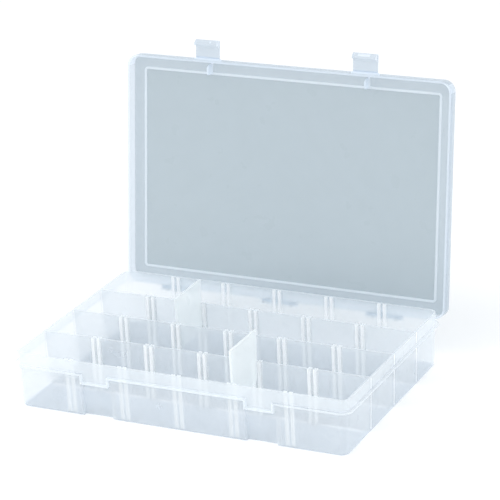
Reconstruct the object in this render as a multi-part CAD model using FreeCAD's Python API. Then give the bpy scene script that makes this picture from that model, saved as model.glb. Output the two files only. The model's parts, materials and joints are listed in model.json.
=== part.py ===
import FreeCAD, Part
import math
import os

from FreeCAD import Vector

# Adjustable compartment box for small tackle, moulded in clear polypropylene.
# Millimetres, Z up, front towards -Y, origin in the middle of the tray's underside.
# The lid is drawn standing open on its stop, both latches straight out from it,
# and the two loose dividers half pulled up out of their slots.

# Overall sizes
BOX_WIDTH = 333.4       # left to right, over the tray flange and over the lid
BOX_DEPTH = 225.5       # front to back, over the tray flange and over the lid
RIM_HEIGHT = 53.5       # table to the top edge of the tray
LID_OPEN_DEG = 97.1     # from shut to the hinge stop

# Tray shell
WALL = 1.5
FLOOR = 1.5
RIM_INSET = 2.8         # flange edge to the outer face of the rim
DRAFT = 1.55            # lean of each wall from rim to foot
RIM_RADIUS = 8.0
FOOT_RADIUS = 6.0
FOOT_ROUND = 3.0
FLANGE_THICK = 1.5
FLANGE_DROP = 10.9      # rim top to flange top

# Rows and slots
ROW_COUNT = 4
CELL_COUNT = 6
ROW_WALL = 1.5
CHANNEL_ROUND = 6.0     # hollow corner along the bottom of each row
GROOVE_HEAD = 3.8       # moulding relief under each row wall
GROOVE_FOOT = 5.0
GROOVE_DEPTH = 2.2
GROOVE_STOP = 6.0       # end of the relief to the outside of the side wall
GATE_PAD = 12.0         # half length of the flat left across the middle relief
RIB_WIDTH = 2.8
RIB_PROUD = 2.0
RIB_PEAK = 0.5          # ribs stand this far above the rim

# Loose dividers
DIVIDER_THICK = 2.0
DIVIDER_SIDE_GAP = 0.4  # each face of the divider to its rib
DIVIDER_END_GAP = 0.3
DIVIDER_SEAT_GAP = 0.4
DIVIDER_BELOW_RIM = 0.5
DIVIDER_ROUND = 7.5
RAISE_FRONT = 31.5
RAISE_BACK = 25.0

# Latch bays in the front wall
BAY_WIDTH = 30.0
BAY_DEPTH_TOP = 5.2     # wall face to bay face under the ledge
BAY_DEPTH_FOOT = 5.4
LEDGE_DROP = 8.0        # flange top to ledge top
LEG_OUTER = 14.2        # half width over the two legs beside the ledge
LEG_THICK = 1.5

# Lid
LID_THICK = 1.5
LID_HEADROOM = 0.3      # rib peaks to the underside of the lid
LID_SEAT_GAP = 0.2      # skirt to flange when shut
SKIRT_THICK = 1.9
LID_EDGE_ROUND = 1.2
BEAD_INSET = 13.9       # lid edge to the middle of the bead
BEAD_WIDTH = 2.2
BEAD_TALL = 0.55
BEAD_RADIUS = 3.5
LUG_THICK = 1.8
LUG_TALL = 10.5
LUG_BEVEL = 1.0
LUG_WALL_GAP = 0.5      # brace lug to the inside of the front wall
LUG_CURVE = ((2.6, 0.0), (1.2, 1.2), (0.4, 3.4), (0.0, 6.5))   # off the wall line, up from the foot

# Latches
LATCH_WIDTH = 25.0
LATCH_THICK = 1.5
LATCH_TIP = 4.8         # catching face of the hook to the end of the latch
HOOK_WIDTH = 23.5
HOOK_PROUD = 5.0
HOOK_RAMP = ((2.7, 0.0), (0.3, 1.5))    # foot of the catching face: back from it, proud
HOOK_LAND = 2.4         # flat on top of the hook
HOOK_END = 1.8          # hook height at the end of the latch
HOOK_GAP = 0.4          # hook to the underside of the ledge
BEND_RISE = 1.7         # skirt edge to the bend line
ROOT_WIDTH = 28.0       # thick lip on the skirt that carries the latch
ROOT_PROUD = 2.2
ROOT_THICK = 2.0
ROOT_BEVEL = 1.4
ROOT_GAP = 0.25         # root lip to the round end of the latch

# Hinges
AXIS_BACK = 1.5         # flange edge to hinge axis
PIN_RADIUS = 1.60
PIN_GAP = 0.08
LOBE_WALL = 1.22
LOBE_DROP = 0.53        # flange top to the top of the hinge lobes
HUB_STEP = 0.4          # hub over the pin
HINGE_WIDTH = 36.4
END_PLATE = 2.8
HOOK_PLATE = 2.4
SIDE_GAP = 0.3          # between neighbouring hinge leaves
HOOK_PLACES = (-12.4, -3.2, 11.7)
NIB_TALL = 1.3
NIB_TIP = 1.0
ARM_GAP = 0.3           # hinge arm to the flange edge
ARM_BACK = 1.65         # outer face of the arm behind the axis
ARM_SHOULDER = 2.0
ARM_TALL = 5.0
ARM_NECK = 0.9

# Values that follow from the sizes above
BIG = 500.0
HALF_W = BOX_WIDTH / 2
HALF_D = BOX_DEPTH / 2
RIM_X = HALF_W - RIM_INSET
RIM_Y = HALF_D - RIM_INSET
FLANGE_TOP = RIM_HEIGHT - FLANGE_DROP
FLANGE_LOW = FLANGE_TOP - FLANGE_THICK
OUTER_RADIUS = RIM_RADIUS + RIM_INSET
RIDGE_TOP = FLOOR + CHANNEL_ROUND
ROW_CLEAR = (2 * (RIM_Y - WALL) - (ROW_COUNT - 1) * ROW_WALL) / ROW_COUNT
ROW_PITCH = ROW_CLEAR + ROW_WALL
ROW_WALL_Y = [ROW_PITCH * (k - ROW_COUNT / 2) for k in range(1, ROW_COUNT)]
SLOT_GAP = DIVIDER_THICK + 2 * DIVIDER_SIDE_GAP
SLOT_PITCH = 2 * (RIM_X - WALL) / CELL_COUNT
SLOT_X = [SLOT_PITCH * (k - CELL_COUNT / 2) for k in range(1, CELL_COUNT)]
BAY_X = SLOT_PITCH * 1.5
LEDGE_TOP = FLANGE_TOP - LEDGE_DROP
LEDGE_LOW = LEDGE_TOP - FLANGE_THICK
LID_LOW = RIM_HEIGHT + RIB_PEAK + LID_HEADROOM
LID_TOP = LID_LOW + LID_THICK
SKIRT_LOW = FLANGE_TOP + LID_SEAT_GAP
BORE_RADIUS = PIN_RADIUS + PIN_GAP
LOBE_RADIUS = BORE_RADIUS + LOBE_WALL
HUB_RADIUS = PIN_RADIUS + HUB_STEP
AXIS_Y = HALF_D + AXIS_BACK
AXIS_Z = FLANGE_TOP - LOBE_DROP - LOBE_RADIUS
BEND_Y = -HALF_D - ROOT_PROUD - ROOT_GAP - LATCH_THICK / 2
BEND_Z = SKIRT_LOW + BEND_RISE
CATCH = BEND_Z - LEDGE_LOW + HOOK_GAP
LATCH_LONG = CATCH + LATCH_TIP


def box(x0, x1, y0, y1, z0, z1):
    return Part.makeBox(x1 - x0, y1 - y0, z1 - z0, Vector(x0, y0, z0))


def rounded_wire(half_x, half_y, radius, z):
    """Closed rectangle with round corners, drawn flat at height z."""
    cx = half_x - radius
    cy = half_y - radius
    diagonal = radius / math.sqrt(2)
    edges = []
    corners = ((1, 1), (-1, 1), (-1, -1), (1, -1))
    for i, (sx, sy) in enumerate(corners):
        along_x = Vector(sx * half_x, sy * cy, z)
        along_y = Vector(sx * cx, sy * half_y, z)
        middle = Vector(sx * (cx + diagonal), sy * (cy + diagonal), z)
        start, end = (along_x, along_y) if sx * sy > 0 else (along_y, along_x)
        edges.append(Part.Arc(start, middle, end).toShape())
        nx, ny = corners[(i + 1) % 4]
        if nx * ny > 0:
            following = Vector(nx * half_x, ny * cy, z)
        else:
            following = Vector(nx * cx, ny * half_y, z)
        edges.append(Part.makeLine(end, following))
    return Part.Wire(edges)


def plate(half_x, half_y, radius, z0, z1):
    face = Part.Face(rounded_wire(half_x, half_y, radius, z0))
    return face.extrude(Vector(0, 0, z1 - z0))


def tapered(z0, z1, inset):
    """Solid with the tray's drafted walls, set in from their outer face."""
    wires = []
    for z in (z0, z1):
        sink = 1 - z / RIM_HEIGHT
        lean = DRAFT * sink + inset
        radius = RIM_RADIUS + (FOOT_RADIUS - RIM_RADIUS) * sink - inset
        wires.append(rounded_wire(RIM_X - lean, RIM_Y - lean, radius, z))
    return Part.makeLoft(wires, True, True)


def along_x(points, x0, x1):
    """Straight sided outline in the YZ plane, pushed out along X."""
    corners = [Vector(x0, y, z) for y, z in points]
    face = Part.Face(Part.makePolygon(corners + corners[:1]))
    return face.extrude(Vector(x1 - x0, 0, 0))


def rod(radius, x0, x1):
    """Round bar on the hinge axis."""
    return Part.makeCylinder(radius, x1 - x0, Vector(x0, AXIS_Y, AXIS_Z), Vector(1, 0, 0))


def joined(shapes):
    return shapes[0].multiFuse(shapes[1:]).removeSplitter() if len(shapes) > 1 else shapes[0]


def wall_face(z):
    """Distance from the middle to the inside of the front or back wall."""
    return RIM_Y - WALL - DRAFT * (1 - z / RIM_HEIGHT)


def rib_pairs(faces, low):
    """Pairs of upright ribs that hold a divider, one pair at every slot.

    faces lists (side, distance function): the rib grows from the distance
    towards the middle of the row, which lies on the given side of it.
    """
    ribs = []
    top = RIM_HEIGHT + RIB_PEAK
    for side, distance in faces:
        outline = []
        for z, proud in ((low, 0), (low, RIB_PROUD), (RIM_HEIGHT, RIB_PROUD), (top, RIB_PROUD / 2),
                         (RIM_HEIGHT, 0)):
            outline.append((distance(z) + side * proud, z))
        for x in SLOT_X:
            for hand in (-1, 1):
                middle = x + hand * (SLOT_GAP + RIB_WIDTH) / 2
                ribs.append(along_x(outline, middle - RIB_WIDTH / 2, middle + RIB_WIDTH / 2))
    return ribs


def channel_fillet(distance, side):
    """Hollow corner between a long wall and the floor, for one side of a row."""
    foot = distance(FLOOR)
    high = distance(RIDGE_TOP)
    centre_y = foot + side * CHANNEL_ROUND
    diagonal = CHANNEL_ROUND / math.sqrt(2)
    x = -RIM_X
    inside = foot - side * WALL / 2
    a = Vector(x, inside, FLOOR)
    b = Vector(x, centre_y, FLOOR)
    c = Vector(x, foot, RIDGE_TOP)
    d = Vector(x, min(inside, high) if side > 0 else max(inside, high), RIDGE_TOP)
    middle = Vector(x, centre_y - side * diagonal, RIDGE_TOP - diagonal)
    edges = [Part.makeLine(a, b), Part.Arc(b, middle, c).toShape()]
    edges += [Part.makeLine(c, d), Part.makeLine(d, a)]
    return Part.Face(Part.Wire(edges)).extrude(Vector(2 * RIM_X, 0, 0))


# ---------------------------------------------------------------- tray shell
solid_tray = tapered(0, RIM_HEIGHT, 0)
foot_edges = [e for e in solid_tray.Edges if e.BoundBox.ZMax < FLOOR / 2]
solid_tray = solid_tray.makeFillet(FOOT_ROUND, foot_edges)
inside_tray = tapered(FLOOR, RIM_HEIGHT + 1, WALL)
shell = solid_tray.cut(inside_tray).cut(box(-BIG, BIG, -BIG, BIG, -BIG, FLOOR))
base_plate = solid_tray.common(box(-BIG, BIG, -BIG, BIG, -1, FLOOR))

straight_x = RIM_X - RIM_RADIUS
front_zone = box(-straight_x, straight_x, -BIG, 0, -BIG, BIG)
back_zone = box(-straight_x, straight_x, 0, BIG, -BIG, BIG)
left_zone = box(-BIG, -straight_x, -BIG, BIG, -BIG, BIG)
right_zone = box(straight_x, BIG, -BIG, BIG, -BIG, BIG)

# Front wall: two bays let the latches hook in under their ledges.
bay_hollows = []
bay_blocks = []
ledges = []
for x in (-BAY_X, BAY_X):
    top_face = -RIM_Y + DRAFT * (1 - LEDGE_LOW / RIM_HEIGHT) + BAY_DEPTH_TOP
    foot_face = -RIM_Y + DRAFT + BAY_DEPTH_FOOT
    hollow = [(-BIG, -1), (foot_face, -1), (top_face, LEDGE_LOW), (-BIG, LEDGE_LOW)]
    block = [(-BIG, 0), (foot_face + WALL, 0), (top_face + WALL, LEDGE_LOW), (-BIG, LEDGE_LOW)]
    half = BAY_WIDTH / 2
    bay_hollows.append(along_x(hollow, x - half, x + half))
    bay_blocks.append(along_x(block, x - half - WALL, x + half + WALL))
    inner = box(x - half - WALL, x + half + WALL, -RIM_Y - 1, top_face + WALL, LEDGE_LOW, LEDGE_TOP)
    outer = box(x - LEG_OUTER, x + LEG_OUTER, -HALF_D, top_face, LEDGE_LOW, LEDGE_TOP)
    legs = []
    for x0 in (x - LEG_OUTER, x + LEG_OUTER - LEG_THICK):
        legs.append(box(x0, x0 + LEG_THICK, -HALF_D, -RIM_Y + WALL, LEDGE_TOP, FLANGE_TOP))
    legs = [leg.cut(solid_tray) for leg in legs]
    ledges.append(joined([inner.common(solid_tray), outer] + legs))
both_hollows = joined(bay_hollows)
both_blocks = joined(bay_blocks).common(solid_tray)
both_ledges = ledges[0].fuse(ledges[1])

front_ribs = rib_pairs([(1, lambda z: -wall_face(z))], FLOOR)
back_ribs = rib_pairs([(-1, wall_face)], FLOOR)
front_wall = joined([shell.common(front_zone), both_blocks.cut(base_plate)] + front_ribs)
front_wall = front_wall.cut(both_hollows).cut(both_ledges)
back_wall = joined([shell.common(back_zone)] + back_ribs)
left_wall = shell.common(left_zone)
right_wall = shell.common(right_zone)

# Floor: four channels side by side, with a low ridge under every row wall.
ridges = []
for y in ROW_WALL_Y:
    ridges.append(box(-RIM_X, RIM_X, y - ROW_WALL / 2, y + ROW_WALL / 2, FLOOR, RIDGE_TOP))
    ridges.append(channel_fillet(lambda z, y=y: y + ROW_WALL / 2, 1))
    ridges.append(channel_fillet(lambda z, y=y: y - ROW_WALL / 2, -1))
    sides = [(1, lambda z, y=y: y + ROW_WALL / 2), (-1, lambda z, y=y: y - ROW_WALL / 2)]
    ridges += [rib.common(box(-BIG, BIG, -BIG, BIG, 0, RIDGE_TOP)) for rib in rib_pairs(sides, FLOOR)]
ridges.append(channel_fillet(lambda z: -wall_face(z), 1))
ridges.append(channel_fillet(wall_face, -1))
ridges = joined(ridges).common(inside_tray)
floor = joined([base_plate, ridges]).cut(both_hollows).cut(both_blocks.cut(base_plate))
floor = floor.cut(joined(front_ribs)).cut(joined(back_ribs))
for y in ROW_WALL_Y:
    relief = [(y - GROOVE_FOOT / 2, -1), (y - GROOVE_FOOT / 2, 0), (y - GROOVE_HEAD / 2, GROOVE_DEPTH),
              (y + GROOVE_HEAD / 2, GROOVE_DEPTH), (y + GROOVE_FOOT / 2, 0), (y + GROOVE_FOOT / 2, -1)]
    reach = RIM_X - DRAFT - GROOVE_STOP
    floor = floor.cut(along_x(relief, -reach, -GATE_PAD)).cut(along_x(relief, GATE_PAD, reach))

# Row walls stand on the ridges and carry ribs on both faces.
row_walls = []
for y in ROW_WALL_Y:
    web = box(-BIG, BIG, y - ROW_WALL / 2, y + ROW_WALL / 2, RIDGE_TOP, RIM_HEIGHT).common(inside_tray)
    sides = [(1, lambda z, y=y: y + ROW_WALL / 2), (-1, lambda z, y=y: y - ROW_WALL / 2)]
    row_walls.append(joined([web] + rib_pairs(sides, RIDGE_TOP)))

# Flange: the lid's skirt comes down on it. It stops at each latch bay.
ring = plate(HALF_W, HALF_D, OUTER_RADIUS, FLANGE_LOW, FLANGE_TOP).cut(solid_tray)
flange_front = ring.common(front_zone)
for x in (-BAY_X, BAY_X):
    gap = box(x - LEG_OUTER, x + LEG_OUTER, -BIG, 0, FLANGE_LOW - 1, FLANGE_TOP + 1)
    flange_front = flange_front.cut(gap)
flange_pieces = sorted(flange_front.Solids, key=lambda s: s.CenterOfMass.x)

# ------------------------------------------------------------------- hinges
hinge_hooks = []
hinge_bars = []
for x in (SLOT_X[0], SLOT_X[2], SLOT_X[4]):
    x0 = x - HINGE_WIDTH / 2
    x1 = x + HINGE_WIDTH / 2
    leaves = [(x0, x0 + END_PLATE), (x1 - END_PLATE, x1)]
    for place in HOOK_PLACES:
        leaves.append((x + place - HOOK_PLATE / 2, x + place + HOOK_PLATE / 2))
    web_low = AXIS_Z - HUB_RADIUS
    pieces = [box(x0, x1, RIM_Y - WALL, AXIS_Y - HUB_RADIUS - SIDE_GAP, web_low, FLANGE_LOW)]
    for a, b in leaves:
        pieces.append(rod(LOBE_RADIUS, a, b))
        pieces.append(box(a, b, RIM_Y - WALL, AXIS_Y, web_low, FLANGE_LOW))
    for a, b in leaves[2:]:
        tip = AXIS_Z - LOBE_RADIUS - NIB_TALL
        nib = [(AXIS_Y - HUB_RADIUS, AXIS_Z - HUB_RADIUS), (AXIS_Y - NIB_TIP / 2, tip),
               (AXIS_Y + NIB_TIP / 2, tip), (AXIS_Y + HUB_RADIUS, AXIS_Z - HUB_RADIUS)]
        pieces.append(along_x(nib, a, b))
    hook = joined(pieces).cut(solid_tray).cut(ring)
    hinge_hooks.append(hook.cut(rod(BORE_RADIUS, x0 - 1, x1 + 1)))

    spans = sorted(leaves)
    bar = [rod(PIN_RADIUS, x0, x1)]
    for (a0, a1), (b0, b1) in zip(spans[1:-2], spans[2:-1]):
        left = a1 + SIDE_GAP
        right = b0 - SIDE_GAP
        bar.append(rod(HUB_RADIUS, left, right))
        inner_y = HALF_D + ARM_GAP
        outer_y = AXIS_Y + ARM_BACK
        arm = [(inner_y, AXIS_Z), (inner_y, SKIRT_LOW), (HALF_D, SKIRT_LOW),
               (HALF_D, SKIRT_LOW + ARM_TALL), (HALF_D + ARM_NECK, SKIRT_LOW + ARM_TALL),
               (outer_y, SKIRT_LOW + ARM_SHOULDER), (outer_y, AXIS_Z)]
        bar.append(along_x(arm, left, right))
    hinge_bars.append(joined(bar))

# ---------------------------------------------------------------- lid, shut
panel = plate(HALF_W, HALF_D, OUTER_RADIUS, LID_LOW, LID_TOP)
top_edges = [e for e in panel.Edges if e.BoundBox.ZMin > LID_TOP - LID_THICK / 2]
panel = panel.makeFillet(LID_EDGE_ROUND, top_edges)
skirt = plate(HALF_W, HALF_D, OUTER_RADIUS, SKIRT_LOW, LID_LOW)
skirt = skirt.cut(plate(HALF_W - SKIRT_THICK, HALF_D - SKIRT_THICK, OUTER_RADIUS - SKIRT_THICK, 0, BIG))
bead_out = BEAD_INSET - BEAD_WIDTH / 2
bead_in = BEAD_INSET + BEAD_WIDTH / 2
bead = plate(HALF_W - bead_out, HALF_D - bead_out, BEAD_RADIUS, LID_LOW - BEAD_TALL, LID_LOW)
hole = plate(HALF_W - bead_in, HALF_D - bead_in, BEAD_RADIUS - BEAD_WIDTH, 0, BIG)
bead = bead.cut(hole)

roots = []
lugs = []
latches = []
for x in (-BAY_X, BAY_X):
    # Thick lip on the front of the skirt: the latch bends along its outer edge.
    root_low = BEND_Z - ROOT_THICK / 2
    root = box(x - ROOT_WIDTH / 2, x + ROOT_WIDTH / 2, -HALF_D - ROOT_PROUD, -HALF_D, root_low,
               root_low + ROOT_THICK)
    end_edges = [e for e in root.Edges if e.BoundBox.YMax < -HALF_D - ROOT_PROUD / 2]
    upright = [e for e in end_edges if e.BoundBox.ZLength > ROOT_THICK / 2]
    roots.append(root.makeChamfer(ROOT_BEVEL, upright))

    # Brace lug: drops inside the front wall so the latch cannot pull it in.
    near = -wall_face(RIM_HEIGHT) + LUG_WALL_GAP
    lug_low = LID_LOW - LUG_TALL
    over = RIM_HEIGHT + LID_HEADROOM
    outline = [(-HALF_D + BEAD_INSET, LID_LOW), (-HALF_D + BEAD_INSET, lug_low + LUG_BEVEL),
               (-HALF_D + BEAD_INSET - LUG_BEVEL, lug_low)]
    outline += [(near + off, lug_low + up) for off, up in LUG_CURVE]
    outline += [(near, over), (-HALF_D + SKIRT_THICK, over), (-HALF_D + SKIRT_THICK, LID_LOW)]
    lugs.append(along_x(outline, x - LUG_THICK / 2, x + LUG_THICK / 2).cut(bead))

    # Latch drawn straight out from the lid, hook pointing down.
    face = BEND_Z - LATCH_THICK / 2
    tongue = box(x - LATCH_WIDTH / 2, x + LATCH_WIDTH / 2, BEND_Y - LATCH_LONG, BEND_Y, face,
                 face + LATCH_THICK)
    round_end = Part.makeCylinder(LATCH_THICK / 2, LATCH_WIDTH, Vector(x - LATCH_WIDTH / 2, BEND_Y, BEND_Z),
                                  Vector(1, 0, 0))
    hook = [(CATCH - back, proud) for back, proud in HOOK_RAMP]
    hook += [(CATCH, HOOK_PROUD), (CATCH + HOOK_LAND, HOOK_PROUD), (LATCH_LONG, HOOK_END),
             (LATCH_LONG, 0)]
    hook = along_x([(BEND_Y - s, face - p) for s, p in hook], x - HOOK_WIDTH / 2, x + HOOK_WIDTH / 2)
    latches.append(joined([tongue, round_end, hook]))
skirt_front = joined([skirt.common(front_zone)] + roots)
skirt_back = skirt.common(back_zone)
skirt_left = skirt.common(left_zone)
skirt_right = skirt.common(right_zone)

# ----------------------------------------------------------------- dividers
dividers = []
places = ((SLOT_X[3], (-wall_face(RIM_HEIGHT) + ROW_WALL_Y[0] - ROW_WALL / 2) / 2, RAISE_FRONT),
          (SLOT_X[1], (ROW_WALL_Y[1] + ROW_WALL_Y[2]) / 2, RAISE_BACK))
for x, y, raised in places:
    low = FLOOR + DIVIDER_SEAT_GAP + raised
    high = RIM_HEIGHT - DIVIDER_BELOW_RIM + raised
    top_half = ROW_CLEAR / 2 - DIVIDER_END_GAP
    foot_half = top_half - DRAFT * (high - low) / RIM_HEIGHT
    outline = [(y - top_half, high), (y - foot_half, low), (y + foot_half, low), (y + top_half, high)]
    blade = along_x(outline, x - DIVIDER_THICK / 2, x + DIVIDER_THICK / 2)
    lower = [e for e in blade.Edges if e.BoundBox.ZMax < low + 1 and e.BoundBox.XLength > 1
             and e.BoundBox.YLength < 1]
    dividers.append(blade.makeFillet(DIVIDER_ROUND, lower))


def opened(shape):
    turned = shape.copy()
    turned.rotate(Vector(0, AXIS_Y, AXIS_Z), Vector(1, 0, 0), -LID_OPEN_DEG)
    return turned


nodes = {
    "tray_floor": floor,
    "tray_front_wall": front_wall,
    "tray_back_wall": back_wall,
    "tray_left_wall": left_wall,
    "tray_right_wall": right_wall,
    "row_wall_front": row_walls[0],
    "row_wall_middle": row_walls[1],
    "row_wall_back": row_walls[2],
    "flange_front_left": flange_pieces[0],
    "flange_front_middle": flange_pieces[1],
    "flange_front_right": flange_pieces[2],
    "flange_back": ring.common(back_zone),
    "flange_left": ring.common(left_zone),
    "flange_right": ring.common(right_zone),
    "catch_ledge_left": ledges[0],
    "catch_ledge_right": ledges[1],
    "hinge_hook_left": hinge_hooks[0],
    "hinge_hook_middle": hinge_hooks[1],
    "hinge_hook_right": hinge_hooks[2],
    "lid_panel": opened(panel),
    "lid_bead": opened(bead),
    "lid_skirt_front": opened(skirt_front),
    "lid_skirt_back": opened(skirt_back),
    "lid_skirt_left": opened(skirt_left),
    "lid_skirt_right": opened(skirt_right),
    "brace_lug_left": opened(lugs[0]),
    "brace_lug_right": opened(lugs[1]),
    "hinge_bar_left": opened(hinge_bars[0]),
    "hinge_bar_middle": opened(hinge_bars[1]),
    "hinge_bar_right": opened(hinge_bars[2]),
    "latch_left": opened(latches[0]),
    "latch_right": opened(latches[1]),
    "divider_front": dividers[0],
    "divider_back": dividers[1],
}

os.makedirs("parts", exist_ok=True)
for name, shape in nodes.items():
    shape.exportStep("parts/" + name + ".step")
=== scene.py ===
import json
import math

import bmesh
import bpy
from mathutils import Matrix, Vector


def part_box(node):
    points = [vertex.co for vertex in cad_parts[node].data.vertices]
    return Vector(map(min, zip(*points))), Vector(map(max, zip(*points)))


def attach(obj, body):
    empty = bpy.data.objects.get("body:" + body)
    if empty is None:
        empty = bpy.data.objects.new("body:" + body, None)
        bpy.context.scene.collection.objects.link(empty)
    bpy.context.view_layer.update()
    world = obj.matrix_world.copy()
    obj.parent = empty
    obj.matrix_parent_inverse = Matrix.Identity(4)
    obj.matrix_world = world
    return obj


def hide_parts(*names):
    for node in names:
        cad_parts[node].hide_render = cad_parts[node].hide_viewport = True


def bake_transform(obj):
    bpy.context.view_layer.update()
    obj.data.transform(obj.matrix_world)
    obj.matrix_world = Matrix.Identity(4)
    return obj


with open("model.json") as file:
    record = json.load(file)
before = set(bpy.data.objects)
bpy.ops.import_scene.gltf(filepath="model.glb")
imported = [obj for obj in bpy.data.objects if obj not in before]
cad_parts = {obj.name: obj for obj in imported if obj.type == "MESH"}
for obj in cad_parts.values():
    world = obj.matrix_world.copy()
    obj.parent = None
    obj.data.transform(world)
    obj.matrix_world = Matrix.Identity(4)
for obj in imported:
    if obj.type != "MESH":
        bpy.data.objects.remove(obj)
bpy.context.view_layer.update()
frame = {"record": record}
scene = bpy.context.scene

# ---------------------------------------------------------------- viewpoint
# A long lens looks down on the open box from the front right, as in a shop
# catalogue. The box leans a little clockwise in the frame.
camera_place = (0.91336, -1.82757, 0.89445)
camera_turn = math.radians(25.902)
camera_rise = math.radians(20.468)
camera_tilt = math.radians(-2.626)

toward_camera = Vector((math.sin(camera_turn) * math.cos(camera_rise),
                        -math.cos(camera_turn) * math.cos(camera_rise),
                        math.sin(camera_rise)))
level = Vector((math.cos(camera_turn), math.sin(camera_turn), 0))
plumb = toward_camera.cross(level)
sideways = level * math.cos(camera_tilt) + plumb * math.sin(camera_tilt)
upward = plumb * math.cos(camera_tilt) - level * math.sin(camera_tilt)
camera_facing = Matrix((sideways, upward, toward_camera)).transposed().to_4x4()

lens = bpy.data.cameras.new("camera")
lens.sensor_width = 36
lens.lens = 173
lens.clip_end = 60
camera = bpy.data.objects.new("camera", lens)
scene.collection.objects.link(camera)
camera.matrix_world = Matrix.Translation(camera_place) @ camera_facing
scene.camera = camera

# ------------------------------------------------------- studio and the floor
# The box stands on a wide sheet of white card under an even white tent. One
# large soft light hangs high on the left and a weaker one on the right.
lamp_aim = Vector((0, 0, 0.1))
card_radius = 14
card_sides = 64

tent = bpy.data.worlds.new("white_tent")
tent.use_nodes = True
tent_glow = tent.node_tree.nodes["Background"]
tent_glow.inputs["Color"].default_value = (0.97, 0.985, 1, 1)
tent_glow.inputs["Strength"].default_value = 0.93
scene.world = tent
scene.view_settings.view_transform = "Standard"


def soft_light(name, place, width, power):
    """Hangs a round lamp and turns it toward the box."""
    lamp = bpy.data.lights.new(name, "AREA")
    lamp.shape = "DISK"
    lamp.size = width
    lamp.energy = power
    made = bpy.data.objects.new(name, lamp)
    scene.collection.objects.link(made)
    made.location = place
    made.rotation_euler = (lamp_aim - Vector(place)).to_track_quat("-Z", "Y").to_euler()


def noise_over(material, scale, detail):
    """Adds noise that stays fixed to the thing the material covers."""
    place = material.node_tree.nodes.new("ShaderNodeTexCoord")
    noise = material.node_tree.nodes.new("ShaderNodeTexNoise")
    noise.inputs["Scale"].default_value = scale
    noise.inputs["Detail"].default_value = detail
    material.node_tree.links.new(place.outputs["Object"], noise.inputs["Vector"])
    return noise


def drifting_colour(material, noise, dark, pale):
    """Adds a colour that drifts between two tones as the noise does."""
    tone = material.node_tree.nodes.new("ShaderNodeMix")
    tone.data_type = "RGBA"
    first, second = [socket for socket in tone.inputs if socket.type == "RGBA"]
    first.default_value = (*dark, 1)
    second.default_value = (*pale, 1)
    material.node_tree.links.new(noise.outputs["Fac"], tone.inputs["Factor"])
    return next(socket for socket in tone.outputs if socket.type == "RGBA")


soft_light("soft_light_left", (-1.4, -1.2, 2.2), width=1.6, power=27)
soft_light("soft_light_right", (1.9, -0.6, 1.5), width=1.2, power=10)

card = bpy.data.materials.new("white_card")
card.use_nodes = True
card_shader = card.node_tree.nodes["Principled BSDF"]
card_shader.inputs["Roughness"].default_value = 0.9
card_shader.inputs["Specular IOR Level"].default_value = 0.1
card_tone = drifting_colour(card, noise_over(card, scale=900, detail=2),
                            dark=(0.955, 0.96, 0.965), pale=(0.985, 0.985, 0.985))
card.node_tree.links.new(card_tone, card_shader.inputs["Base Color"])

sheet = bmesh.new()
bmesh.ops.create_circle(sheet, cap_ends=True, segments=card_sides, radius=card_radius)
floor_mesh = bpy.data.meshes.new("floor")
sheet.to_mesh(floor_mesh)
sheet.free()
floor_mesh.materials.append(card)
floor = bpy.data.objects.new("floor", floor_mesh)
scene.collection.objects.link(floor)


# --------------------------------------------------------------------- tray
# One deep injection moulding in natural polypropylene: drafted walls round
# four long rows, with three row walls as tall as the rim. It is drawn by the
# mould's own steps: a block with round corners, and rows sunk into its top.
def clear_plastic(name, dark, pale, tint, solidity, through, cloud):
    """Makes clear plastic with a faint milky haze and cloudy flow in it.

    dark and pale are the two tones the haze drifts between, and cloud is how
    fine the drift is. tint colours what is seen through one skin, solidity is
    how much of it the haze hides, and through is the share lit from behind.
    """
    plastic = bpy.data.materials.new(name)
    plastic.use_nodes = True
    nodes = plastic.node_tree.nodes
    link = plastic.node_tree.links.new
    shader = nodes["Principled BSDF"]
    shader.inputs["IOR"].default_value = 1.49

    flow = noise_over(plastic, cloud, detail=3)
    flow.inputs["Distortion"].default_value = 0.8
    haze_colour = drifting_colour(plastic, flow, dark, pale)
    link(haze_colour, shader.inputs["Base Color"])

    satin = noise_over(plastic, scale=60, detail=3)
    polish = nodes.new("ShaderNodeMapRange")
    polish.inputs["To Min"].default_value = 0.22
    polish.inputs["To Max"].default_value = 0.38
    link(satin.outputs["Fac"], polish.inputs["Value"])
    link(polish.outputs["Result"], shader.inputs["Roughness"])

    scuffs = noise_over(plastic, scale=350, detail=2)
    relief = nodes.new("ShaderNodeBump")
    relief.inputs["Strength"].default_value = 0.15
    relief.inputs["Distance"].default_value = 0.00003
    link(scuffs.outputs["Fac"], relief.inputs["Height"])
    link(relief.outputs["Normal"], shader.inputs["Normal"])

    lit_from_behind = nodes.new("ShaderNodeBsdfTranslucent")
    link(haze_colour, lit_from_behind.inputs["Color"])
    haze = nodes.new("ShaderNodeMixShader")
    haze.inputs["Fac"].default_value = through
    link(shader.outputs[0], haze.inputs[1])
    link(lit_from_behind.outputs[0], haze.inputs[2])

    thickness = nodes.new("ShaderNodeMapRange")
    thickness.inputs["From Min"].default_value = 0.3
    thickness.inputs["From Max"].default_value = 0.7
    thickness.inputs["To Min"].default_value = solidity - 0.02
    thickness.inputs["To Max"].default_value = solidity + 0.02
    link(flow.outputs["Fac"], thickness.inputs["Value"])
    seen_through = nodes.new("ShaderNodeBsdfTransparent")
    seen_through.inputs["Color"].default_value = (*tint, 1)
    whole = nodes.new("ShaderNodeMixShader")
    link(thickness.outputs["Result"], whole.inputs["Fac"])
    link(seen_through.outputs[0], whole.inputs[1])
    link(haze.outputs[0], whole.inputs[2])
    link(whole.outputs[0], nodes["Material Output"].inputs["Surface"])
    return plastic


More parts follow.
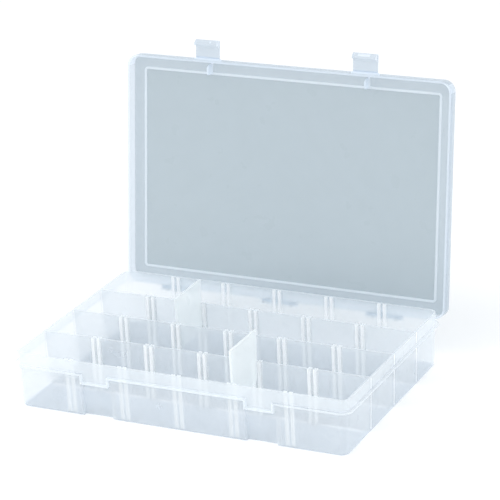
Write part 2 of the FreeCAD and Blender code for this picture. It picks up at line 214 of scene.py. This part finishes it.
# Thin walls let light through. The narrow faces along their edges, the flange, ledges and hooks get a
# whiter, more solid finish: partly the plastic seen edgewise, partly a painted highlight. The ribs are
# whitest.
tray_finishes = {
    "wall": clear_plastic("tray_plastic", dark=(0.90, 0.935, 0.965), pale=(0.93, 0.96, 0.985),
                          tint=(0.985, 0.99, 0.995), solidity=0.28, through=0.4, cloud=14),
    "edge": clear_plastic("tray_edge_highlight_plastic", dark=(0.93, 0.97, 1.0), pale=(0.96, 0.99, 1.0),
                          tint=(0.95, 0.97, 0.99), solidity=0.6, through=0.4, cloud=40),
    # The floor's darker haze and tint are painted shade that darkens what is seen through the bottom of
    # the tray.
    "floor": clear_plastic("tray_floor_plastic", dark=(0.86, 0.91, 0.96), pale=(0.90, 0.94, 0.98),
                           tint=(0.85, 0.88, 0.91), solidity=0.30, through=0.4, cloud=10),
    "rim": clear_plastic("tray_rim_plastic", dark=(0.93, 0.965, 0.99), pale=(0.95, 0.98, 1.0),
                         tint=(0.96, 0.98, 0.995), solidity=0.45, through=0.15, cloud=14),
    "rib": clear_plastic("tray_rib_plastic", dark=(0.97, 0.99, 1.0), pale=(0.99, 1.0, 1.0),
                         tint=(1, 1, 1), solidity=0.85, through=0.2, cloud=30),
}

rim_height = 0.0535
rim_half_x = 0.1639
rim_half_y = 0.10995
rim_corner = 0.008
wall = 0.0015
draft = 0.00155
draft_reach = 0.012
floor_round = 0.006
foot_round = 0.003
least_row_area = 0.01
row_clear = (2 * (rim_half_y - wall) - 3 * wall) / 4
row_walls = [(k - 1) * (row_clear + wall) for k in range(3)]
hair = 1e-5
X, Y, Z = range(3)


def span(edge, axis):
    """How far an edge reaches along one axis."""
    return abs(edge.verts[0].co[axis] - edge.verts[1].co[axis])


def round_edges(block, edges, radius, steps, clamped=False):
    """Rounds edges; clamped makes the radius smaller where the round would not fit."""
    bmesh.ops.bevel(block, geom=edges, offset=radius, offset_type="OFFSET", segments=steps,
                    profile=0.5, affect="EDGES", material=-1, clamp_overlap=clamped)


def rounded_block(half_x, half_y, radius, low, high, steps=7):
    """Block with four round upright corners."""
    block = bmesh.new()
    bmesh.ops.create_cube(block, size=1)
    bmesh.ops.scale(block, vec=(2 * half_x, 2 * half_y, high - low), verts=block.verts)
    bmesh.ops.translate(block, vec=(0, 0, (low + high) / 2), verts=block.verts)
    round_edges(block, [e for e in block.edges if span(e, Z) > hair], radius, steps)
    return block


def facing(block, direction):
    """The face that looks most nearly that way and lies furthest along it."""
    block.normal_update()
    way = Vector(direction)
    looking = [f for f in block.faces if f.normal.dot(way) > 0.99]
    return max(looking, key=lambda f: (round(f.calc_center_median().dot(way), 6), f.calc_area()))


def sink(block, face, inset, depth):
    """Insets a face, or pushes it along its normal with straight sides."""
    bmesh.ops.inset_region(block, faces=[face], thickness=inset, depth=depth,
                           use_even_offset=True, use_boundary=True)


def lean_in(points):
    """Gives the outer walls their draft: brings points by them in toward the middle."""
    for v in points:
        if abs(v.co.x) > rim_half_x - draft_reach:
            v.co.x -= math.copysign(draft, v.co.x)
        if abs(v.co.y) > rim_half_y - draft_reach:
            v.co.y -= math.copysign(draft, v.co.y)


def row_mouths(block):
    """The tops of the rows, without the narrow tops of the walls."""
    block.normal_update()
    return [f for f in block.faces if f.normal.z > 0.99 and f.calc_area() > least_row_area]


def add_object(name, block):
    mesh = bpy.data.meshes.new(name)
    block.to_mesh(mesh)
    block.free()
    made = bpy.data.objects.new(name, mesh)
    scene.collection.objects.link(made)
    return made


tub = rounded_block(rim_half_x, rim_half_y, rim_corner, 0, rim_height)
lean_in([v for v in tub.verts if v.co.z < wall])
sink(tub, facing(tub, (0, 0, 1)), wall, 0)
for y in row_walls:
    for wall_face in (y - wall / 2, y + wall / 2):
        cut = row_mouths(tub)
        around = {v for f in cut for v in f.verts} | {e for f in cut for e in f.edges}
        bmesh.ops.bisect_plane(tub, geom=cut + list(around), plane_co=(0, wall_face, 0),
                               plane_no=(0, 1, 0))
rows = sorted(row_mouths(tub), key=lambda f: f.calc_center_median().y)
for row in rows:
    sink(tub, row, 0, wall - rim_height)
    lean_in(row.verts)
round_edges(tub, [e for row in rows for e in row.edges if span(e, X) > rim_half_x],
            floor_round, steps=5, clamped=True)
round_edges(tub, [e for e in tub.edges if all(v.co.z < hair for v in e.verts)],
            foot_round, steps=4)
tray = add_object("tray", tub)


def prism(outline, low_x, high_x):
    """Outline drawn looking along X, as (y, z) points, and pushed along X."""
    bar = bmesh.new()
    end = bar.faces.new([bar.verts.new((low_x, y, z)) for y, z in outline])
    pushed = bmesh.ops.extrude_face_region(bar, geom=[end])
    moved = [v for v in pushed["geom"] if isinstance(v, bmesh.types.BMVert)]
    bmesh.ops.translate(bar, vec=(high_x - low_x, 0, 0), verts=moved)
    bmesh.ops.recalc_face_normals(bar, faces=bar.faces)
    return bar


def bar_between(low_x, high_x, low_y, high_y, low_z, high_z):
    return prism([(low_y, low_z), (high_y, low_z), (high_y, high_z), (low_y, high_z)],
                 low_x, high_x)


def gathered(blocks):
    """Puts several blocks into one, each still closed by itself."""
    whole = bmesh.new()
    for block in blocks:
        carried = bpy.data.meshes.new("carried")
        block.to_mesh(carried)
        block.free()
        whole.from_mesh(carried)
        bpy.data.meshes.remove(carried)
    return whole


def mould_with(piece, operation, blocks):
    """Adds blocks to a piece as one skin, or cuts them out of it."""
    tool = add_object("tool", gathered(blocks))
    step = piece.modifiers.new("step", "BOOLEAN")
    step.operation = operation
    step.solver = "EXACT"
    step.use_self = True
    step.object = tool
    bpy.context.view_layer.update()
    graph = bpy.context.evaluated_depsgraph_get()
    moulded = bpy.data.meshes.new_from_object(piece.evaluated_get(graph))
    piece.modifiers.clear()
    old = piece.data
    piece.data = moulded
    bpy.data.meshes.remove(old)
    bpy.data.objects.remove(tool)


# Two bays in the front wall, where the latch hooks go in under a ledge. The
# flange that runs right round the tray steps down to the ledge at each bay on
# two short legs, and each bay is open to the table.
half_width = 0.1667
half_depth = 0.11275
outer_corner = 0.0108
flange_width = 0.0037
flange_low = 0.0411
flange_top = 0.0426
ledge_low = 0.0331
ledge_top = 0.0346
ledge_root = -0.1085
leg_half = 0.0142
leg_root = -0.1088
leg_overlap = 0.0005
slot_pitch = 2 * (rim_half_x - wall) / 6
bay_middles = (-1.5 * slot_pitch, 1.5 * slot_pitch)
bay_half = 0.015
bay_face_foot = -0.1030
bay_face_top = -0.10416
bay_front_foot = -0.1054
bay_foot = 0.0004
wall_overlap = 0.0007
cut_margin = 0.001
cut_front = -0.13


def outer_wall(z):
    """How far the outside of the front wall stands from the middle."""
    return rim_half_y - draft * (1 - z / rim_height)


def ring(half_x, half_y, radius, width, low, high):
    """Flat hoop with round corners, its outside at half_x and half_y."""
    hoop = rounded_block(half_x, half_y, radius, low, high)
    for way in ((0, 0, 1), (0, 0, -1)):
        face = facing(hoop, way)
        sink(hoop, face, width, 0)
        bmesh.ops.delete(hoop, geom=[face], context="FACES_ONLY")
    bmesh.ops.bridge_loops(hoop, edges=[e for e in hoop.edges if e.is_boundary])
    bmesh.ops.recalc_face_normals(hoop, faces=hoop.faces)
    return hoop


flange = add_object("flange", ring(half_width, half_depth, outer_corner, flange_width,
                                   flange_low, flange_top))
mould_with(flange, "DIFFERENCE", [bar_between(x - leg_half, x + leg_half, cut_front, 0,
                                              flange_low - cut_margin, flange_top + cut_margin)
                                  for x in bay_middles])
flange_block = bmesh.new()
flange_block.from_mesh(flange.data)
bpy.data.objects.remove(flange)

added = [flange_block]
hollows = []
for x in bay_middles:
    added.append(prism([(bay_front_foot, bay_foot), (bay_face_foot + wall, bay_foot),
                        (bay_face_top + wall, ledge_top),
                        (wall_overlap - outer_wall(ledge_top), ledge_top),
                        (wall_overlap - outer_wall(foot_round), foot_round)],
                       x - bay_half - wall, x + bay_half + wall))
    added.append(bar_between(x - leg_half, x + leg_half, -half_depth, ledge_root,
                             ledge_low + hair, ledge_top))
    for low_x in (x - leg_half, x + leg_half - wall):
        added.append(bar_between(low_x, low_x + wall, -half_depth, leg_root,
                                 ledge_low + leg_overlap, flange_top))
    hollows.append(prism([(cut_front, -cut_margin), (bay_face_foot, -cut_margin),
                          (bay_face_top, ledge_low), (cut_front, ledge_low)],
                         x - bay_half, x + bay_half))

# Slots for the loose dividers: two upright ribs a divider's thickness apart,
# at five places along both sides of every row. Each rib ends in a low peak
# just above the rim.
slots = [k * slot_pitch for k in (-2, -1, 0, 1, 2)]
slot_gap = 0.0028
rib_width = 0.0028
rib_proud = 0.0020
rib_peak = 0.0005
rib_root = 0.0005
rib_root_top = rim_height - 0.0002
rib_back = rim_height + 0.00002


def rib_outline(side, face):
    """face gives the wall's distance at a height; side is the way the rib grows."""
    outline = []
    for z, proud in ((wall / 2, -rib_root), (wall / 2, rib_proud), (rim_height, rib_proud),
                     (rim_height + rib_peak, rib_proud / 2), (rib_back, 0),
                     (rib_root_top, -rib_root)):
        outline.append((face(min(z, rim_height)) + side * proud, z))
    return outline


rib_faces = [(1, lambda z: wall - outer_wall(z)), (-1, lambda z: outer_wall(z) - wall)]
for y in row_walls:
    rib_faces.append((1, lambda z, y=y: y + wall / 2))
    rib_faces.append((-1, lambda z, y=y: y - wall / 2))
for side, face in rib_faces:
    for slot in slots:
        for hand in (-1, 1):
            rib_x = slot + hand * (slot_gap + rib_width) / 2
            added.append(prism(rib_outline(side, face), rib_x - rib_width / 2, rib_x + rib_width / 2))

# Faint raised lines down the two side walls show where the row walls meet them.
line_proud = 0.00006
line_root = 0.0004
line_half = 0.0006
line_low = 0.004
line_high = rim_height - 0.0004
for y in row_walls:
    for hand in (-1, 1):
        low_x, high_x = (outer_wall(z) + rim_half_x - rim_half_y for z in (line_low, line_high))
        seam_line = prism([(low_x - line_root, line_low), (low_x + line_proud, line_low),
                           (high_x + line_proud, line_high), (high_x - line_root, line_high)],
                          y - line_half, y + line_half)
        quarter = Matrix.Rotation(math.radians(-90 * hand), 3, "Z")
        bmesh.ops.rotate(seam_line, cent=(0, 0, 0), matrix=quarter, verts=seam_line.verts)
        added.append(seam_line)

# Hinge hooks under the back flange: two end plates with a round eye through
# them and three closed hooks with a small nib, on a low web.
axis_y = 0.11425
axis_z = 0.03917
pin_radius = 0.0016
pin_play = 0.00008
hinge_half = 0.0182
hinge_root = 0.1088
hinge_middles = (slots[0], slots[2], slots[4])
hook_plates = [(-hinge_half, -0.0154), (-0.0136, -0.0112), (-0.0044, -0.0020), (0.0105, 0.0129),
               (0.0154, hinge_half)]
hook_radius = 0.0029
hook_web_y = axis_y - 0.0023
hook_web_z = axis_z - 0.002
hook_web_top = flange_low + 0.0004
hook_plate_top = flange_low + 0.0005
nib_base_y = 0.002
nib_base_z = 0.0015
nib_tip_y = 0.0005
nib_tip_z = 0.0042


def rod(radius, low_x, high_x, sides=28):
    """Round bar on the hinge line."""
    bar = bmesh.new()
    across = Matrix.Translation(((low_x + high_x) / 2, axis_y, axis_z)) @ Matrix.Rotation(
        math.radians(90), 4, "Y")
    bmesh.ops.create_cone(bar, cap_ends=True, segments=sides, radius1=radius, radius2=radius,
                          depth=high_x - low_x, matrix=across)
    return bar


for x in hinge_middles:
    added.append(bar_between(x - hinge_half, x + hinge_half, hinge_root, hook_web_y,
                             hook_web_z, hook_web_top))
    for low_x, high_x in hook_plates:
        added.append(rod(hook_radius, x + low_x, x + high_x))
        added.append(bar_between(x + low_x, x + high_x, hinge_root, axis_y,
                                 hook_web_z - hair, hook_plate_top))
        if abs(low_x) < hinge_half and abs(high_x) < hinge_half:
            nib = [(axis_y - nib_base_y, axis_z - nib_base_z), (axis_y - nib_tip_y, axis_z - nib_tip_z),
                   (axis_y + nib_tip_y, axis_z - nib_tip_z), (axis_y + nib_base_y, axis_z - nib_base_z)]
            added.append(prism(nib, x + low_x + hair, x + high_x - hair))
    hollows.append(rod(pin_radius + pin_play, x - hinge_half - cut_margin, x + hinge_half + cut_margin))

# Shallow reliefs moulded under each row wall keep the floor from sinking.
relief_foot = 0.0025
relief_crown = 0.0019
relief_height = 0.0022
relief_near = 0.012
relief_far = 0.15635
for y in row_walls:
    relief = [(y - relief_foot, -cut_margin), (y - relief_foot, 0), (y - relief_crown, relief_height),
              (y + relief_crown, relief_height), (y + relief_foot, 0), (y + relief_foot, -cut_margin)]
    hollows.append(prism(relief, -relief_far, -relief_near))
    hollows.append(prism(relief, relief_near, relief_far))

mould_with(tray, "UNION", added)
mould_with(tray, "DIFFERENCE", hollows)


def dress(piece, finishes, choose, soften=0.00018):
    """Gives a piece its finishes, softens its edges and shades it.

    choose looks at a face and returns the name of its finish.
    """
    weld = 2e-6
    flat = math.radians(0.6)
    shade_sharp = math.radians(32)
    round_sharp = math.radians(40)
    piece.data.materials.clear()
    for finish in finishes.values():
        piece.data.materials.append(finish)
    order = list(finishes)
    skin = bmesh.new()
    skin.from_mesh(piece.data)
    bmesh.ops.remove_doubles(skin, verts=skin.verts, dist=weld)
    bmesh.ops.dissolve_limit(skin, angle_limit=flat, verts=skin.verts, edges=skin.edges,
                             delimit=set())
    skin.normal_update()
    for f in skin.faces:
        f.material_index = order.index(choose(f))
        f.smooth = True
    skin.to_mesh(piece.data)
    skin.free()
    piece.data.set_sharp_from_angle(angle=shade_sharp)
    rounding = piece.modifiers.new("rounding", "BEVEL")
    rounding.width = soften
    rounding.segments = 2
    rounding.limit_method = "ANGLE"
    rounding.angle_limit = round_sharp
    rounding.use_clamp_overlap = True
    shading = piece.modifiers.new("shading", "WEIGHTED_NORMAL")
    shading.keep_sharp = True
    bpy.context.view_layer.update()
    graph = bpy.context.evaluated_depsgraph_get()
    rounded = bpy.data.meshes.new_from_object(piece.evaluated_get(graph))
    piece.modifiers.clear()
    piece.data = rounded
    piece.data.name = piece.name


def tray_finish(face):
    """Flange, ledges, hooks and rims are whiter than the walls, ribs whitest. The edge finish's extra
    whiteness is a painted highlight.
    """
    near = 0.0001
    rib_reach = rim_half_x - 0.02
    seam_area = 0.00008
    place = face.calc_center_median()
    top = place.z > rim_height - 3 * near
    outside = abs(place.y) > rim_half_y or abs(place.x) > rim_half_x
    # Tops and outer faces take the edge finish, whitened as a painted highlight.
    if top or outside:
        return "edge"
    off_slot = abs((place.x + slot_pitch / 2) % slot_pitch - slot_pitch / 2)
    in_rib = slot_gap / 2 - near < off_slot < slot_gap / 2 + rib_width + near
    across = [v.co.x for v in face.verts]
    narrow = max(across) - min(across) < rib_width + 2 * near
    if in_rib and narrow and place.z > line_low and abs(place.x) < rib_reach:
        return "rib"
    by_row_wall = min(abs(place.y - y) for y in row_walls) < wall / 2
    if abs(face.normal.x) > 0.99 and by_row_wall and face.calc_area() < seam_area:
        return "rib"
    by_bay = place.z > ledge_top and place.y < wall / 2 - rim_half_y
    upright = abs(face.normal.z) < 0.5
    if upright and (place.z > flange_top or by_bay):
        return "rim"
    # Flat faces at the bottom take the floor finish with its painted shade.
    on_floor = abs(face.normal.z) > 0.9 and place.z < foot_round
    return "floor" if on_floor else "wall"


bodies = frame["record"]["behaviour"]["bodies"]
dress(tray, tray_finishes, tray_finish)
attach(tray, "tray")
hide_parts(*bodies["tray"])

# ---------------------------------------------------------------------- lid
# The second polypropylene moulding: a flat panel with a skirt all round that
# comes down on the tray's flange. Its pins turn in the tray's hinge hooks. It
# is shaped shut and then swung open about them.
# The grey-blue haze and tint of the panel and its border are painted shade: they darken the view
# through the clear lid, which the plastic itself does not.
lid_finishes = {
    "panel": clear_plastic("lid_plastic", dark=(0.59, 0.66, 0.70), pale=(0.61, 0.68, 0.72),
                           tint=(0.71, 0.755, 0.78), solidity=0.30, through=0.4, cloud=7),
    # Narrow faces: the plastic's pale haze, more solid, with a painted highlight.
    "edge": clear_plastic("lid_edge_highlight_plastic", dark=(0.86, 0.92, 0.98), pale=(0.90, 0.95, 1.0),
                          tint=(0.95, 0.97, 1.0), solidity=0.55, through=0.4, cloud=40),
    "skirt": clear_plastic("lid_skirt_plastic", dark=(0.84, 0.88, 0.925), pale=(0.87, 0.905, 0.945),
                           tint=(0.87, 0.90, 0.93), solidity=0.36, through=0.5, cloud=14),
    "border": clear_plastic("lid_band_plastic", dark=(0.66, 0.725, 0.78), pale=(0.69, 0.755, 0.80),
                            tint=(0.81, 0.84, 0.87), solidity=0.34, through=0.4, cloud=7),
}

skirt_low = 0.0428
skirt_thick = 0.0019
lid_low = 0.0543
lid_top = 0.0558
crown_round = 0.0012
open_angle = math.radians(97.1)
hinge_line = Vector((0, axis_y, axis_z))
swing_open = (Matrix.Translation(hinge_line) @ Matrix.Rotation(-open_angle, 4, "X")
              @ Matrix.Translation(-hinge_line))

cover = rounded_block(half_width, half_depth, outer_corner, skirt_low, lid_top, steps=10)
crown = facing(cover, (0, 0, 1))
round_edges(cover, list(crown.edges), crown_round, steps=4)
underside = facing(cover, (0, 0, -1))
sink(cover, underside, skirt_thick, 0)
sink(cover, underside, 0, skirt_low - lid_low)
lid = add_object("lid", cover)

# A low bead runs inside the edge, and two brace lugs behind the latches keep
# them from pulling the front wall in. Each latch hangs on a lip in front.
overlap = 0.0005
bead_inset = 0.0128
bead_corner = 0.0035
bead_width = 0.0022
bead_proud = 0.00055
lug_thick = 0.0018
lug_low = lid_low - 0.0105
lug_far = 0.0139 - half_depth
lug_near = wall - rim_half_y + 0.0005
lug_root = 0.0010 - half_depth
lug_foot = rim_height + 0.0003
lip_half = 0.014
lip_half_thick = 0.001
lip_front = -half_depth - 0.0022
lip_root = 0.0008 - half_depth
lip_corner = 0.0014
bend_y = -half_depth - 0.0032
bend_z = skirt_low + 0.0017

lid_parts = [ring(half_width - bead_inset, half_depth - bead_inset, bead_corner, bead_width,
                  lid_low - bead_proud, lid_low + overlap)]
for x in bay_middles:
    lug = [(lug_far, lid_low + overlap), (lug_far, lug_low + 0.001), (lug_far - 0.001, lug_low),
           (lug_near + 0.0026, lug_low), (lug_near + 0.0012, lug_low + 0.0012),
           (lug_near + 0.0004, lug_low + 0.0034), (lug_near, lug_low + 0.0065), (lug_near, lug_foot),
           (lug_root, lug_foot), (lug_root, lid_low + overlap)]
    lid_parts.append(prism(lug, x - lug_thick / 2, x + lug_thick / 2))
    lip = bar_between(x - lip_half, x + lip_half, lip_front, lip_root,
                      bend_z - lip_half_thick, bend_z + lip_half_thick)
    round_edges(lip, [e for e in lip.edges if all(v.co.y < lip_front + hair for v in e.verts)
                      and span(e, Z) > lip_half_thick], lip_corner, steps=3)
    lid_parts.append(lip)

# Hinge bars: a pin through the hooks of the tray, carried on thick arms that
# fill the gaps between them.
arm_radius = 0.0020
arm_gap = 0.0003
arm_back = axis_y + 0.00165
arm_front = half_depth + 0.0003
arm_foot = skirt_low + 0.0006
arm_root = half_depth - 0.0008
arm_shoulder = skirt_low + 0.005
narrowest_arm = 0.0022
arm = [(arm_front, axis_z), (arm_front, arm_foot), (arm_root, arm_foot), (arm_root, arm_shoulder),
       (half_depth + 0.0009, arm_shoulder), (arm_back, skirt_low + 0.002), (arm_back, axis_z)]
for x in hinge_middles:
    lid_parts.append(rod(pin_radius, x - hinge_half, x + hinge_half))
    for (_, low_x), (high_x, _) in zip(hook_plates[:-1], hook_plates[1:]):
        if high_x - low_x > narrowest_arm:
            arm_low_x = x + low_x + arm_gap
            arm_high_x = x + high_x - arm_gap
            lid_parts.append(rod(arm_radius, arm_low_x, arm_high_x))
            lid_parts.append(prism(arm, arm_low_x + hair, arm_high_x - hair))
mould_with(lid, "UNION", lid_parts)


def lid_finish(face):
    """The panel is clearest, its border and skirt milkier, narrow edges whitest. The grey of the panel
    and border is painted shade, and the whiteness of the edges is partly a painted highlight.
    """
    near = 0.0001
    border_width = 0.0145
    lug_zone_front = -0.1095
    lug_zone_back = -0.09
    place = face.calc_center_median()
    free_edge = face.normal.z < -0.9 and place.z < skirt_low + 2 * near
    bead = lid_low - 7 * near < place.z < lid_low - near
    hinge_or_lip = abs(place.y) > half_depth + 2 * near
    lug_height = lug_low - 10 * near < place.z < lid_low - near
    lug = lug_height and lug_zone_front < place.y < lug_zone_back
    # The free edge, bead, hinge, lips and lugs take the edge finish with its painted highlight.
    if free_edge or bead or hinge_or_lip or lug:
        return "edge"
    if abs(face.normal.z) < 0.9:
        return "skirt"
    by_edge = all(abs(v.co.x) > half_width - border_width or abs(v.co.y) > half_depth - border_width
                  for v in face.verts)
    # Panel and border take the grey painted shade.
    return "border" if by_edge and face.normal.z < 0 else "panel"


dress(lid, lid_finishes, lid_finish)
lid.data.transform(swing_open)
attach(lid, "lid")
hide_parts(*bodies["lid"])

# ------------------------------------------------------------------ latches
# Each latch is a stiff polypropylene tongue with a hook, moulded in one with
# the lid and joined to its lip by a web thin enough to bend along.
latch_finishes = {
    "tongue": clear_plastic("latch_plastic", dark=(0.72, 0.775, 0.825), pale=(0.76, 0.81, 0.855),
                            tint=(0.83, 0.865, 0.90), solidity=0.40, through=0.4, cloud=30),
    "edge": lid_finishes["edge"],
}

latch_half = 0.0125
latch_thick = 0.0015
latch_long = 0.0166
latch_face = bend_z - latch_thick / 2
nose_steps = 6
catch = 0.0118
hook_half = 0.01175
hook_proud = 0.0050
hook_root = -0.0003
# Where the raised pad lies on each hook, left then right. Its whitest finish is a painted highlight, so
# the two pads differ.
highlight_pad_spans = ((0.004, 0.0054), (-0.006, 0.006))
web_half_thick = 0.0002
web_inset = 0.0004
web_overlap = 0.0003
web_cuts = 6


def latch_bar(outline, low_x, high_x):
    """Outline as (distance out from the bend, height off the tongue's face)."""
    return prism([(bend_y - out, latch_face - proud) for out, proud in outline], low_x, high_x)


def latch_blocks(x, pad_low_x, pad_high_x):
    """The tongue, the hook across its end and the raised pad on the hook."""
    tongue = []
    for k in range(nose_steps + 1):
        angle = math.pi / 2 - math.pi * k / nose_steps
        tongue.append((-latch_thick / 2 * math.cos(angle), -latch_thick / 2 * (1 + math.sin(angle))))
    tongue += [(latch_long, 0), (latch_long, -latch_thick)]
    hook = [(catch - 0.0027, hook_root), (catch - 0.0027, 0), (catch - 0.0003, 0.0015),
            (catch, hook_proud), (catch + 0.0024, hook_proud), (latch_long - hair, 0.0018),
            (latch_long - hair, hook_root)]
    pad = [(catch + 0.0020, 0.0010), (catch + 0.0020, hook_proud - 0.0001), (catch + 0.0036, 0.0044),
           (latch_long - 0.0003, 0.0032), (latch_long - 0.0001, 0.0010)]
    return (latch_bar(tongue, x - latch_half, x + latch_half),
            latch_bar(hook, x - hook_half, x + hook_half),
            latch_bar(pad, x + pad_low_x, x + pad_high_x))


def latch_finish(face, pad_low_x, pad_high_x):
    """The narrow sides, the tip and the raised pad on the hook are whitest; the whiteness of the tip
    and pad is a painted highlight.
    """
    near = 0.0001
    side = abs(face.normal.x) > 0.9
    tip = face.normal.y < -0.9 and face.calc_center_median().z > bend_z - 0.001
    pad = all(pad_low_x - near < v.co.x < pad_high_x + near for v in face.verts)
    return "edge" if side or tip or pad else "tongue"


for hand, x, pad_span in zip(("left", "right"), bay_middles, highlight_pad_spans):
    body = "latch_" + hand
    tongue, hook, pad = latch_blocks(x, *pad_span)
    latch = add_object(body + "_moulded", tongue)
    mould_with(latch, "UNION", [hook, pad])
    dress(latch, latch_finishes,
          lambda face, x=x, span=pad_span: latch_finish(face, x + span[0], x + span[1]))
    latch.data.transform(swing_open)
    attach(latch, body)
    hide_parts(body)

    web_block = bar_between(x - latch_half + web_inset, x + latch_half - web_inset,
                            bend_y - web_overlap, lip_front + web_overlap,
                            bend_z - web_half_thick, bend_z + web_half_thick)
    bmesh.ops.subdivide_edges(web_block, edges=[e for e in web_block.edges if span(e, Y) > hair],
                              cuts=web_cuts, use_grid_fill=True)
    web = add_object(body + "_web", web_block)
    web.data.materials.append(latch_finishes["edge"])
    web.data.transform(swing_open)
    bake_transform(web)

# ----------------------------------------------------------------- dividers
# Two loose polypropylene plates, each standing half out of its slot. Their
# ends lean with the walls and their lower corners are round to clear the
# hollow floor.
divider_finishes = {
    "plate": clear_plastic("divider_plastic", dark=(0.95, 0.985, 1.0), pale=(0.97, 1.0, 1.0),
                           tint=(0.99, 1.0, 1.0), solidity=0.5, through=0.25, cloud=22),
    "edge": clear_plastic("divider_edge_plastic", dark=(0.94, 0.98, 1.0), pale=(0.97, 1.0, 1.0),
                          tint=(0.98, 0.99, 1.0), solidity=0.7, through=0.3, cloud=40),
}
divider_corner = 0.0075
divider_soften = 0.0003


def divider_finish(face):
    return "edge" if abs(face.normal.x) < 0.5 else "plate"


for name in ("divider_front", "divider_back"):
    low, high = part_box(name)
    lean = draft * (high.z - low.z) / rim_height
    blade = prism([(low.y, high.z), (low.y + lean, low.z), (high.y - lean, low.z), (high.y, high.z)],
                  low.x, high.x)
    lower_corners = [e for e in blade.edges if all(v.co.z < low.z + hair for v in e.verts)
                     and span(e, X) > hair]
    round_edges(blade, lower_corners, divider_corner, steps=8)
    divider = add_object(name + "_moulded", blade)
    dress(divider, divider_finishes, divider_finish, soften=divider_soften)
    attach(divider, name)
    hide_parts(name)
